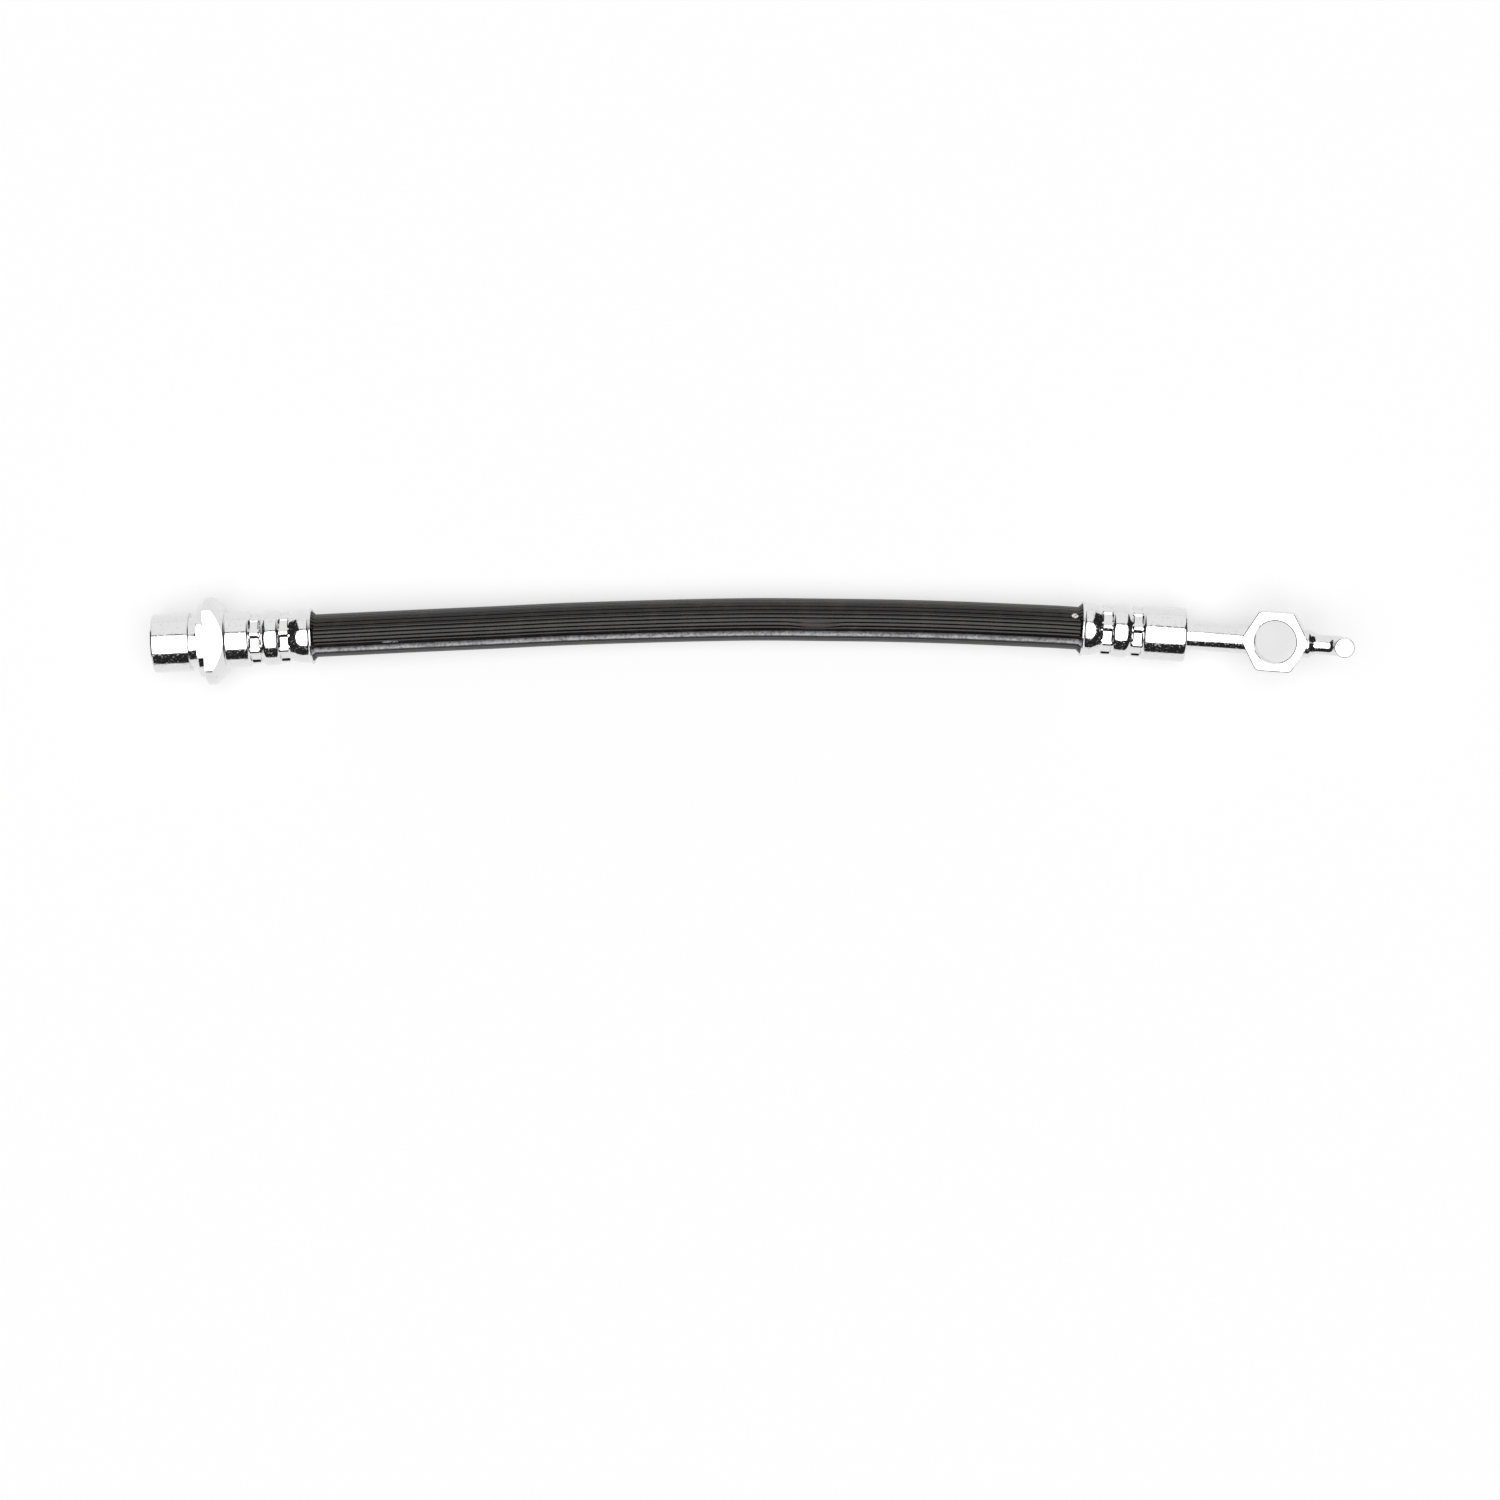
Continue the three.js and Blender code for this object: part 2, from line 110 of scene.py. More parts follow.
def finishShape(shape, name, matrix, sharpAngle=32):
    bmesh.ops.recalc_face_normals(shape, faces=shape.faces)
    bmesh.ops.transform(shape, matrix=Matrix.Scale(mm, 4) @ matrix, verts=shape.verts)
    piece = asObject(shape, name)
    piece.data.shade_smooth()
    piece.data.set_sharp_from_angle(angle=math.radians(sharpAngle))
    return piece


# A half section of (radius, along) points, some of its corners rounded, spun about the X axis.
# A section that isn't closed starts and ends on the axis.
def spunShape(section, sides, roundings=(), closed=True):
    shape = bmesh.new()
    ring = [shape.verts.new((along, 0, radius)) for radius, along in section]
    for first, second in zip(ring, ring[1:] + ring[:1] if closed else ring[1:]):
        shape.edges.new((first, second))
    for offset, corners in roundings:
        bmesh.ops.bevel(shape, geom=[ring[i] for i in corners], offset=offset, offset_type="OFFSET",
                        segments=3, profile=0.5, affect="VERTICES", clamp_overlap=True, material=-1)
    bmesh.ops.spin(shape, geom=shape.verts[:] + shape.edges[:], cent=(0, 0, 0), axis=(1, 0, 0),
                   angle=2 * math.pi, steps=sides, use_merge=True, use_duplicate=False)
    if not closed:
        bmesh.ops.remove_doubles(shape, verts=shape.verts, dist=hair)
    bmesh.ops.recalc_face_normals(shape, faces=shape.faces)
    return shape


# Cuts a shape off flat at a plane and closes the cut.
def cutFlat(shape, point, normal):
    cut = bmesh.ops.bisect_plane(shape, geom=shape.verts[:] + shape.edges[:] + shape.faces[:],
                                 plane_co=point, plane_no=normal, clear_outer=True)["geom_cut"]
    rim = [item for item in cut if isinstance(item, bmesh.types.BMEdge)]
    bmesh.ops.holes_fill(shape, edges=rim, sides=0)


def rodShape(radius, start, end, sides=64):
    shape = bmesh.new()
    along = Vector(end) - Vector(start)
    turn = Vector((0, 0, 1)).rotation_difference(along).to_matrix().to_4x4()
    middle = Matrix.Translation((Vector(start) + Vector(end)) / 2)
    bmesh.ops.create_cone(shape, cap_ends=True, segments=sides, radius1=radius, radius2=radius,
                          depth=along.length, matrix=middle @ turn)
    return shape


def drilledShape(shape, drill):
    made = [asObject(shape, "block"), asObject(drill, "drill")]
    cut = made[0].modifiers.new("cut", "BOOLEAN")
    cut.operation = "DIFFERENCE"
    cut.solver = "EXACT"
    cut.object = made[1]
    result = bmesh.new()
    result.from_object(made[0], bpy.context.evaluated_depsgraph_get())
    for item in made:
        mesh = item.data
        bpy.data.objects.remove(item)
        bpy.data.meshes.remove(mesh)
    return result


# Crimped sockets

crimpLook = {
    "step": 0.2,  # between the rings along a socket
    "sides": 240,
    "acrossFlats": 10.75,
    "ridge": 12.1,  # over the metal left standing between the jaw marks
    "jaws": 8,
    "jawShare": 0.5,  # how much of its eighth a jaw mark takes
    "riseShare": 0.8,  # how much of the rest the metal takes to rise to the ridge
    "roundPressed": 10.95,  # over the metal pressed in beside the jaws
    "jawFade": 0.4,
    "straightFrom": 0.5,  # the share of the way down a mouth side where its curve turns straight
    "wall": 1.1,
    "lipLength": 0.8,
    "lipFlare": 0.45,
    "lip": (  # outwards from its widest, and along
        (-0.35, -0.62), (-0.17, -0.46), (-0.02, -0.33), (0, -0.18), (-0.05, -0.05),
        (-0.16, 0), (-0.42, 0), (-0.56, -0.05), (-0.66, -0.2),
    ),
    "insideFrom": -1,
}
femaleSocket = {
    "radius": 6.7, "bulge": 6.62, "crown": 0.22, "mouth": 6.35, "turn": 11,
    "crimps": (
        {"inside": 12.6, "width": 2, "rootSlope": 0.8, "mouthSlope": 1.7},
        {"inside": 5.6, "width": 1.9, "rootSlope": 0.8, "mouthSlope": 3.3},
    ),
}
banjoSocket = {
    "radius": 6.5, "bulge": 6.42, "crown": 0.22, "mouth": 6.3, "turn": -11,
    "crimps": (
        {"inside": 12.3, "width": 2, "rootSlope": 1, "mouthSlope": 1.7},
        {"inside": 5, "width": 2.1, "rootSlope": 0.8, "mouthSlope": 3},
    ),
}


# The radius of a socket before it is pressed.
def plainRadius(along, socket):
    first, second = socket["crimps"]
    if along < -first["inside"] - first["width"] / 2:
        return socket["radius"]
    if along > -second["inside"] - second["width"] / 2:
        return socket["mouth"]
    reach = (first["inside"] - second["inside"] - second["width"]) / 2
    middle = -first["inside"] + reach
    return socket["bulge"] - socket["crown"] * ((along - middle) / reach) ** 2


# A crimp's side towards the mouth, from 0 at its top to 1 at its foot: a square curve that turns straight.
def mouthSide(share):
    bend = crimpLook["straightFrom"]
    pressed = share ** 2 if share < bend else 2 * bend * share - bend ** 2
    return pressed / (2 * bend - bend ** 2)


# How far the metal at a place along a socket has been pressed in, from 0 to 1.
def pressedShare(along, socket):
    share = 0
    for crimp in socket["crimps"]:
        high = -crimp["inside"]
        low = high - crimp["width"]
        if along < high:
            share = max(share, clamp(1 - max(0, low - along) / crimp["rootSlope"]) ** 2)
        else:
            share = max(share, mouthSide(clamp(1 - (along - high) / crimp["mouthSlope"])))
    return share


# How clearly the jaws' marks show at a place along a socket, from 0 to 1.
def markedShare(along, socket):
    beyond = min(max(-crimp["inside"] - crimp["width"] - along, along + crimp["inside"], 0)
                 for crimp in socket["crimps"])
    return clamp(1 - beyond / crimpLook["jawFade"])


# The inside of a socket at a place along it, which is round.
def insideRadius(along, socket):
    share = pressedShare(along, socket)
    pressed = crimpLook["acrossFlats"] / 2
    return plainRadius(along, socket) * (1 - share) + pressed * share - crimpLook["wall"]


# Points of a socket's half section from its root round the mouth to its floor.
def socketSection(socket, rootAt, floorAt):
    look = crimpLook
    widest = socket["mouth"] + look["lipFlare"]
    places = spaced(rootAt, -look["lipLength"], look["step"])
    outside = [(plainRadius(along, socket), along) for along in places]
    lip = [(widest + outwards, along) for outwards, along in look["lip"]]
    places = spaced(look["insideFrom"], floorAt, 2 * look["step"])
    inside = [(insideRadius(along, socket), along) for along in places]
    return outside + lip + inside


# Presses the jaw marks into the outside of a spun socket.
def pressJaws(shape, socket):
    look = crimpLook
    half = math.pi / look["jaws"]
    flat = look["acrossFlats"] / 2
    ridge = look["ridge"] / 2
    for vert in shape.verts:
        along, side, up = vert.co
        radius = math.hypot(side, up)
        share = pressedShare(along, socket)
        if share == 0 or along > -look["lipLength"] or radius < plainRadius(along, socket) - look["wall"] / 2:
            continue
        angle = math.atan2(side, up) + math.radians(socket["turn"])
        off = abs((angle + half) % (2 * half) - half)
        rise = clamp((off / half - look["jawShare"]) / (1 - look["jawShare"]) / look["riseShare"])
        marked = markedShare(along, socket)
        pressed = flat / math.cos(off) * (1 - rise) + ridge * rise
        pressed = pressed * marked + look["roundPressed"] / 2 * (1 - marked)
        newRadius = radius * (1 - share) + pressed * share
        vert.co = (along, side * newRadius / radius, up * newRadius / radius)


# Female end

femaleLook = {
    "noseRadius": 7.05, "noseLength": 8.9,
    "grooveRadius": 6, "grooveWidth": 2.2,
    "collarRadius": 8.7, "collarWidth": 1.65,
    "flangeRadius": 10.6, "flangeWidth": 2.25,
    "backRadius": 7.75, "coneLength": 2.45, "crease": 0.2,
    "halfFlats": 7.75,
    "shellLength": 20.6,
    "filletRise": 0.1, "filletLength": 0.3,  # at the socket's root
    "portMouth": 5.35, "portDepth": 10.8,
    "threadRadius": 5, "threadDepth": 0.55, "pitch": 1,  # M10 x 1
    "ringsInPitch": 8,
    "toothSlope": 1.3,  # over 1, so that the thread's crests are flat
    "fadeIn": 0.5, "fadeOut": 0.8, "plainEnd": 1.2,  # of the thread, and what the port's floor keeps without
    "seatRadius": 3.4, "seatTip": 2, "seatHeight": 1.7, "passage": 1.5,
    "floorAhead": 0.4, "insertSeat": 2.1, "insertDepth": 3.2,
    "edgeDrop": 0.24, "edgeLength": 0.36,  # of the broken edges
    "rounding": 0.08, "rounded": (2, 3, 4, 7, 12, 13),  # the points at the groove, the collar and the crease
}


# Cuts the thread into the rings between the port's mouth and its floor.
def cutThread(body, start, floor):
    look = femaleLook
    for vert in body.verts:
        along, side, up = vert.co
        radius = math.hypot(side, up)
        if abs(radius - look["threadRadius"]) > hair or not start < along < floor:
            continue
        phase = (along / look["pitch"] + math.atan2(side, up) / (2 * math.pi)) % 1
        tooth = min(1, look["toothSlope"] * (1 - abs(2 * phase - 1)))
        fade = min(clamp((floor - look["plainEnd"] - along) / look["fadeOut"]),
                   clamp((along - start) / look["fadeIn"]))
        newRadius = radius - look["threadDepth"] * tooth * fade
        vert.co = (along, side * newRadius / radius, up * newRadius / radius)


def makeFemaleEnd():
    look = femaleLook
    root = -look["shellLength"]
    coneEnd = root - look["crease"]
    flangeEnd = coneEnd - look["coneLength"]
    flangeFace = flangeEnd - look["flangeWidth"]
    collarFace = flangeFace - look["collarWidth"]
    grooveFace = collarFace - look["grooveWidth"]
    noseFace = grooveFace - look["noseLength"]
    portFloor = noseFace + look["portDepth"]
    threadStart = noseFace + look["portMouth"] - look["threadRadius"]
    floorAt = root + look["floorAhead"]
    drop, length = look["edgeDrop"], look["edgeLength"]
    section = [
        (look["noseRadius"] - drop, noseFace), (look["noseRadius"], noseFace + length),
        (look["noseRadius"], grooveFace),
        (look["grooveRadius"], grooveFace), (look["grooveRadius"], collarFace),
        (look["collarRadius"] - drop, collarFace), (look["collarRadius"], collarFace + length),
        (look["collarRadius"], flangeFace),
        (look["flangeRadius"] - drop, flangeFace), (look["flangeRadius"], flangeFace + length),
        (look["flangeRadius"], flangeEnd - length), (look["flangeRadius"] - drop, flangeEnd),
        (look["backRadius"], coneEnd), (femaleSocket["radius"] + look["filletRise"], root),
    ]
    section += socketSection(femaleSocket, root + look["filletLength"], floorAt)
    section += [
        (look["insertSeat"], floorAt), (look["insertSeat"], floorAt - look["insertDepth"]),
        (look["passage"], floorAt - look["insertDepth"]), (look["passage"], portFloor - look["seatHeight"]),
        (look["seatTip"], portFloor - look["seatHeight"]), (look["seatRadius"], portFloor),
    ]
    rings = spaced(portFloor, threadStart, look["pitch"] / look["ringsInPitch"])
    section += [(look["threadRadius"], along) for along in rings]
    section += [(look["portMouth"], noseFace)]
    body = spunShape(section, crimpLook["sides"], ((look["rounding"], look["rounded"]),))
    pressJaws(body, femaleSocket)
    cutThread(body, threadStart, portFloor)
    for side in (-1, 1):
        cutFlat(body, (0, 0, side * look["halfFlats"]), (0, 0, side))
    return finishShape(body, "femaleEnd", femaleMatrix)


# Banjo end

bendStart = 27.1  # from the mouth to where the neck turns up
bendRadius = 35
bendAngle = math.radians(11)


# Bends what lies beyond -start on the X axis up towards +Z, round an arc.
def bendShape(shape, start, radius, angle):
    for vert in shape.verts:
        beyond = -vert.co.x - start
        if beyond <= 0:
            continue
        turn = min(beyond / radius, angle)
        straight = beyond - turn * radius
        up = vert.co.z
        vert.co.x = -(start + radius * math.sin(turn) + straight * math.cos(turn)) + up * math.sin(turn)
        vert.co.z = radius * (1 - math.cos(turn)) + straight * math.sin(turn) + up * math.cos(turn)


shellLook = {"length": 25.1, "endWall": 1.6, "endRounding": 0.5}
neckLook = {
    "radius": 3.5, "bore": 1.6,
    "clearance": 0.05,  # to the shell
    "shoulderRadius": 4.3, "shoulderLength": 1.4,
    "insertRadius": 2, "insertBore": 1.2, "tip": -1.5, "tipChamfer": 0.3,
    "barbs": 4, "barbRadius": 2.3, "barbPitch": 3.4, "barbFace": 0.1,
    "step": 0.6, "sides": 96,
    "intoEye": 1.2,
}
eyeLook = {
    "distance": 21.9,  # from the shell's end to the eye's centre, along the neck
    "across": 14.15, "cornerRadius": 1.3, "thickness": 9.5, "bore": 5.1,
    "edgeReach": 0.2, "edgeDrop": 0.09, "sharpAngle": 20,  # of the broken edges
    "drillBefore": 1.5, "drillBeyond": 1,  # how far the neck's bore is drilled past the eye's wall
    "sides": 240,
}
eyeReach = (eyeLook["across"] / 2 - eyeLook["cornerRadius"]) / math.cos(math.pi / 6) + eyeLook["cornerRadius"]
eyeAlong = shellLook["length"] + eyeLook["distance"]


def makeBanjoShell():
    look = shellLook
    floorAt = look["endWall"] - look["length"]
    neckHole = neckLook["radius"] + neckLook["clearance"]
    section = [(neckHole, -look["length"]), (banjoSocket["radius"], -look["length"])]
    section += socketSection(banjoSocket, 2 * look["endRounding"] - look["length"], floorAt)
    section += [(neckHole, floorAt)]
    shell = spunShape(section, crimpLook["sides"], ((look["endRounding"], (1,)),))
    pressJaws(shell, banjoSocket)
    return finishShape(shell, "banjoShell", banjoMatrix)


def makeBanjoNeck():
    look = neckLook
    insert, rim = look["insertRadius"], look["shoulderRadius"]
    shoulder = shellLook["endWall"] - shellLook["length"] + look["clearance"]
    shoulderEnd = shoulder + look["shoulderLength"]
    places = spaced(-(eyeAlong - eyeReach + look["intoEye"]), shoulder, look["step"])
    section = [(look["radius"], along) for along in places]
    section += [(rim, shoulder), (rim, shoulderEnd), (insert, shoulderEnd)]
    for i in reversed(range(look["barbs"])):
        edge = look["tip"] - (i + 0.5) * look["barbPitch"]
        section += [(insert, edge - look["barbFace"]), (look["barbRadius"], edge)]
        section += [(insert, edge + look["barbPitch"] / 2 - look["barbFace"])]
    section += [(insert - look["tipChamfer"], look["tip"]), (look["insertBore"], look["tip"])]
    section += [(look["insertBore"], shoulder)]
    section += [(look["bore"], along) for along in reversed(places[:-1])]
    neck = spunShape(section, look["sides"])
    bendShape(neck, bendStart, bendRadius, bendAngle)
    return finishShape(neck, "banjoNeck", banjoMatrix)


# From the fitting's own place to the eye's: its centre, with its bore along +Z.
def eyeMatrix():
    beyond = eyeAlong - bendStart - bendRadius * bendAngle
    along = bendStart + bendRadius * math.sin(bendAngle) + beyond * math.cos(bendAngle)
    up = bendRadius * (1 - math.cos(bendAngle)) + beyond * math.sin(bendAngle)
    return banjoMatrix @ Matrix.Translation((-along, 0, up)) @ Matrix.Rotation(bendAngle, 4, "Y")


# How far the hexagon's side is from its centre, in a direction given from one of its corners.
def hexagonRadius(angle):
    across, corner = eyeLook["across"] / 2, eyeLook["cornerRadius"]
    sixth = math.pi / 3
    off = abs((angle + sixth / 2) % sixth - sixth / 2)
    centre = (across - corner) / math.cos(sixth / 2)
    arcEnd = math.atan2(corner * math.sin(sixth / 2), centre + corner * math.cos(sixth / 2))
    if off < arcEnd:
        return centre * math.cos(off) + math.sqrt(corner ** 2 - (centre * math.sin(off)) ** 2)
    return across / math.cos(sixth / 2 - off)


def makeBanjoEye():
    look = eyeLook
    half = look["thickness"] / 2
    bore, reach, drop = look["bore"], look["edgeReach"], look["edgeDrop"]
    section = [(bore, drop - half), (bore + reach, -half), (eyeReach - reach, -half), (eyeReach, drop - half)]
    section += [(eyeReach, half - drop), (eyeReach - reach, half), (bore + reach, half), (bore, half - drop)]
    ring = spunShape(section, look["sides"])
    bmesh.ops.transform(ring, matrix=Matrix.Rotation(math.radians(-90), 4, "Y"), verts=ring.verts)
    for vert in ring.verts:
        radius = math.hypot(vert.co.x, vert.co.y)
        if radius > (bore + eyeReach) / 2:
            newRadius = radius - eyeReach + hexagonRadius(math.atan2(vert.co.y, vert.co.x))
            vert.co.x *= newRadius / radius
            vert.co.y *= newRadius / radius
    drillFrom, drillTo = bore - look["drillBefore"], eyeReach + look["drillBeyond"]
    drill = rodShape(neckLook["bore"], (drillFrom, 0, 0), (drillTo, 0, 0))
    return finishShape(drilledShape(ring, drill), "banjoEye", eyeMatrix(), look["sharpAngle"])


def makeLocatingPin():
    look = {
        "radius": 2.4, "intoEye": 1.3, "reach": 16.7, "height": 5, "bendRadius": 4, "step": 0.35,
        "endRounding": 0.35, "endSteps": 4,
        "filletRadius": 3.4, "filletLength": 2.6, "filletPower": 2.5,  # of the brazing at the eye
        "sides": 96,
    }
    radius, rounding = look["radius"], look["endRounding"]
    root = eyeReach - look["intoEye"]
    bendAt = look["reach"] - look["bendRadius"]
    upright = eyeLook["thickness"] / 2 + look["height"] - look["bendRadius"]
    length = bendAt + look["bendRadius"] * math.pi / 2 + upright
    section = [(0, -root)]
    for beyond in spaced(root, length - rounding, look["step"]):
        fillet = clamp(1 - max(0, beyond - eyeReach) / look["filletLength"]) ** look["filletPower"]
        section.append((radius + (look["filletRadius"] - radius) * fillet, -beyond))
    for i in range(1, look["endSteps"] + 1):
        angle = math.pi / 2 * i / look["endSteps"]
        section.append((radius - rounding * (1 - math.cos(angle)), rounding * (1 - math.sin(angle)) - length))
    section.append((0, -length))
    pin = spunShape(section, look["sides"], closed=False)
    bendShape(pin, bendAt, look["bendRadius"], math.pi / 2)
    return finishShape(pin, "locatingPin", eyeMatrix())


# Hose

hoseLook = {
    "diameter": 10.3, "bore": 1.65, "wideBore": 2.35, "boreSides": 32,
    "straights": (-10, -1, 0, 0.45, 0.9, 6),  # where the line follows a fitting's own, out from its mouth
    "femaleFloor": -19.9, "banjoFloor": -21.9,
    "step": 1.5,
    "ribs": 32, "ribRadius": 1.8, "pointsInRib": 12,
    "grooveShare": 0.35, "grooveSlope": 1.9,  # of the rib's half width, and drop for width
    "twist": 3.6, "twistLength": 185,  # degrees, from the banjo end back to the female end
    "stripes": ((30.5, 50.5), (-149.5, -129.5)),  # smooth bands, degrees from the top towards -Y
    "stripeRise": 0.05, "stripeEdge": 0.85, "stripeGroove": 0.2,
    "clearance": 0.05, "lipReach": 1, "lipEase": 0.5,  # to the socket, and how it narrows inside the lip
    "swell": (0.35, 0.9), "swellReach": (0.35, 0.9),  # of the rubber at the mouths, on top and at the sides
    "scuffAt": 16, "scuffAngle": 7, "scuffLength": 6.5, "scuffWidth": 16,
    "scuffFlat": 0.7, "scuffSteep": 2,  # how much of the ribs it takes, and how soon
    "bow": 6, "bowAngle": 11, "bowWidth": 18,  # how far the ribs are pushed aside by the scuff, degrees
}
hoseRoute = (  # the share of the way between the mouths, then y and z
    (0.07, 1.82, 7.6),
    (0.145, 2.48, 7.1),
    (0.235, 3.22, 6.3),
    (0.32, 3.98, 5.6),
    (0.405, 4.52, 5.25),
    (0.495, 4.96, 5.2),
    (0.58, 5.2, 5.2),
    (0.665, 5.08, 5.2),
    (0.755, 4.85, 5.2),
    (0.84, 4.4, 5.4),
    (0.915, 3.82, 5.95),
)


# The hose's centre line from the floor of one socket to the floor of the other.
def hosePoints():
    look = hoseLook
    fromFloor = (look["femaleFloor"], *look["straights"])
    toFloor = (*reversed(look["straights"]), look["banjoFloor"])
    inFemale = [femaleMatrix @ Vector((along, 0, 0)) for along in fromFloor]
    inBanjo = [banjoMatrix @ Vector((along, 0, 0)) for along in toFloor]
    start = femalePlace["mouth"][0]
    return inFemale + [Vector((start + share * mouthsApart, y, z)) for share, y, z in hoseRoute] + inBanjo


def smoothLine(points, step):
    line = []
    for i in range(len(points) - 1):
        start, end = points[i], points[i + 1]
        reach = (end - start).length / 3
        before, after = points[max(i - 1, 0)], points[min(i + 2, len(points) - 1)]
        leave = start + (end - before).normalized() * reach
        arrive = end - (after - start).normalized() * reach
        count = max(2, round(3 * reach / step))
        line += interpolate_bezier(start, leave, arrive, end, count + 1)[:-1]
    return line + [points[-1]]


# How deep the surface lies below the crests at an angle round the hose.
def ribDrop(angle):
    look = hoseLook
    pitch = 360 / look["ribs"]
    crestToValley = math.pi * look["diameter"] / look["ribs"] / 2
    for low, high in look["stripes"]:
        if low < angle < high:
            away = abs(angle - (low + high) / 2) / ((high - low) / 2)
            beyond = max(0, away - look["stripeEdge"]) / (1 - look["stripeEdge"])
            return look["stripeRise"] * away ** 2 + look["stripeGroove"] * beyond
    away = abs((angle + pitch / 2) % pitch - pitch / 2) / (pitch / 2) * crestToValley
    grooveEdge = crestToValley * (1 - look["grooveShare"])
    rounded = look["ribRadius"] - math.sqrt(look["ribRadius"] ** 2 - min(away, grooveEdge) ** 2)
    return rounded + max(0, away - grooveEdge) * look["grooveSlope"]


# How scuffed the rubber is at a place along X and an angle round the hose, from 0 to 1.
def scuffShare(x, angle):
    look = hoseLook
    lengthwise = (x - look["scuffAt"]) / look["scuffLength"]
    crosswise = (angle - look["scuffAngle"]) / look["scuffWidth"]
    return clamp(1 - math.hypot(lengthwise, crosswise) ** 2)


# How many degrees the ribs are pushed aside there.
def bowedBy(x, angle):
    look = hoseLook
    lengthwise = clamp(1 - ((x - look["scuffAt"]) / look["scuffLength"]) ** 2)
    return look["bow"] * lengthwise * clamp(1 - abs(angle - look["bowAngle"]) / look["bowWidth"])


# The radius at the crests, a distance out of the nearer mouth and at an angle round the hose.
def crestRadius(out, angle):
    look = hoseLook
    sideways = abs(math.sin(angle))
    swell, reach = (top + (side - top) * sideways for top, side in (look["swell"], look["swellReach"]))
    return look["diameter"] / 2 + swell * clamp(1 - max(0, out) / reach)


# The edges between the neighbours of one ring of vertices.
def ringEdges(ring):
    members = set(ring)
    return list({edge for vert in ring for edge in vert.link_edges if edge.other_vert(vert) in members})


# Extrudes one ring of vertices and returns the new ring in the same order.
def growRing(shape, ring):
    made = bmesh.ops.extrude_edge_only(shape, edges=ringEdges(ring))["geom"]
    fresh = {item for item in made if isinstance(item, bmesh.types.BMVert)}
    return [next(edge.other_vert(vert) for edge in vert.link_edges if edge.other_vert(vert) in fresh)
            for vert in ring]


# Unrolls the outside into its UV map: u goes once round, and v is metres along the hose.
def unroll(tube, uvLayer, spots):
    for face in tube.faces:
        places = [spots.get(loop.vert, (0, 0)) for loop in face.loops]
        shares = [share for share, along in places]
        wraps = max(shares) - min(shares) > 0.5
        for loop, (share, along) in zip(face.loops, places):
            loop[uvLayer].uv = (share + (1 if wraps and share < 0.5 else 0), along * mm)


def makeHose():
    look = hoseLook
    line = smoothLine(hosePoints(), look["step"])
    femaleMouth, banjoMouth = Vector(femalePlace["mouth"]), Vector(banjoPlace["mouth"])
    femaleAxis = femaleMatrix.to_3x3() @ Vector((1, 0, 0))
    banjoAxis = banjoMatrix.to_3x3() @ Vector((1, 0, 0))
    around = look["ribs"] * look["pointsInRib"]
    angles = [360 * (i / around - 0.5) for i in range(around)]
    drops = [ribDrop(angle) for angle in angles]

    tube = bmesh.new()
    uvLayer = tube.loops.layers.uv.new("round")
    scuffLayer = tube.verts.layers.float.new("scuff")
    outer = bmesh.ops.create_circle(tube, segments=around, radius=1)["verts"]
    inner = bmesh.ops.create_circle(tube, segments=look["boreSides"], radius=1)["verts"]
    ends = [(outer, inner)]
    spots = {}
    length = 0
    for i, centre in enumerate(line):
        before, after = line[max(i - 1, 0)], line[min(i + 1, len(line) - 1)]
        ahead = (after - before).normalized()
        left = Vector((0, 0, 1)).cross(ahead).normalized()
        up = ahead.cross(left)
        length += (centre - before).length
        if i > 0:
            outer, inner = growRing(tube, outer), growRing(tube, inner)
        outFemale = (centre - femaleMouth).dot(femaleAxis)
        outBanjo = (centre - banjoMouth).dot(banjoAxis)
        out = min(outFemale, outBanjo)
        socket = femaleSocket if outFemale < outBanjo else banjoSocket
        inSocket = math.inf
        if out < 0:
            eased = look["lipEase"] * max(0, look["lipReach"] + out)
            inSocket = insideRadius(out, socket) - look["clearance"] + eased
        ribbed = clamp(look["lipReach"] + out)
        twist = look["twist"] * clamp(outBanjo / look["twistLength"])
        for j, vert in enumerate(outer):
            scuff = scuffShare(centre.x, angles[j])
            vert[scuffLayer] = scuff
            angle = math.radians(angles[j] + twist + bowedBy(centre.x, angles[j]))
            radius = min(inSocket, crestRadius(out, angle))
            kept = 1 - look["scuffFlat"] * min(1, look["scuffSteep"] * scuff)
            raised = radius - drops[j] * ribbed * kept
            vert.co = centre + raised * (math.cos(angle) * up - math.sin(angle) * left)
            spots[vert] = (j / around, length)
        bore = look["bore"] if out > 0 else look["wideBore"]
        for j, vert in enumerate(inner):
            angle = 2 * math.pi * j / len(inner)
            vert.co = centre + bore * (math.cos(angle) * up - math.sin(angle) * left)
    ends.append((outer, inner))
    for outside, inside in ends:
        bmesh.ops.bridge_loops(tube, edges=ringEdges(outside) + ringEdges(inside))
    unroll(tube, uvLayer, spots)
    return finishShape(tube, "hoseRibbed", Matrix.Identity(4), sharpAngle=30), line, length


hose, hosePath, hoseLength = makeHose()
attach(hose, "root")
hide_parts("hose")
hoseLength * mm
[point * mm for point in hosePath]
print("hose made:", len(hose.data.polygons), "faces,", round(hoseLength, 1), "mm")

fittings = {
    "female_end_body": makeFemaleEnd(),
    "banjo_shell": makeBanjoShell(),
    "banjo_stem": makeBanjoNeck(),
    "banjo_eye": makeBanjoEye(),
    "locating_pin": makeLocatingPin(),
}
for node, piece in fittings.items():
    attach(piece, "root")
    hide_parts(node)
    print(piece.name, "made:", len(piece.data.polygons), "faces")


# Shading

